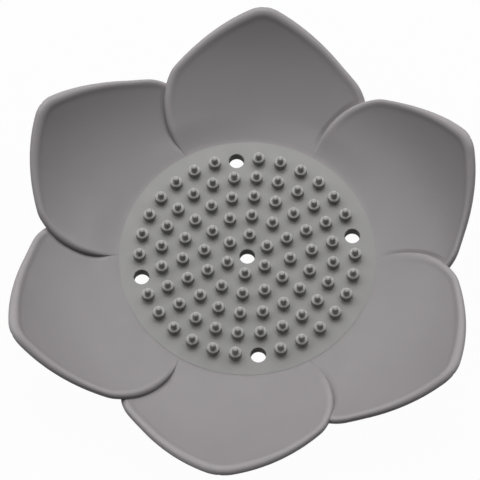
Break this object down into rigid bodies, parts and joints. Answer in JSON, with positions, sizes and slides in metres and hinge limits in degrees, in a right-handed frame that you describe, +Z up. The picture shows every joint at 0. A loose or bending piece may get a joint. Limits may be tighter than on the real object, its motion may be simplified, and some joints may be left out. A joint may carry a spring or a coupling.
{
  "type": "soap dish",
  "caption": "Shallow lotus-shaped soap dish of soft silicone: a round drain plate with stepped drip studs and drain holes, ringed by overlapping petals with rounded rims, on small feet.",
  "frame": {"origin": "on the resting plane, under the middle of the drain plate", "axes": "+Z up, +Y along the middle line of the first petal, the longest way across from tip to tip"},
  "size_m": [0.1158, 0.1304, 0.0218],
  "materials": {
    "silicone_plate": "matte",
    "silicone_petal": "matte",
    "silicone_foot": "matte"
  },
  "bodies": {
    "root": {"drain_plate": "silicone_plate", "petal_1": "silicone_petal", "petal_2": "silicone_petal", "petal_3": "silicone_petal", "petal_4": "silicone_petal", "petal_5": "silicone_petal", "petal_6": "silicone_petal", "foot_1": "silicone_foot", "foot_2": "silicone_foot", "foot_3": "silicone_foot", "foot_4": "silicone_foot", "foot_5": "silicone_foot", "foot_6": "silicone_foot"}
  },
  "joints": []
}
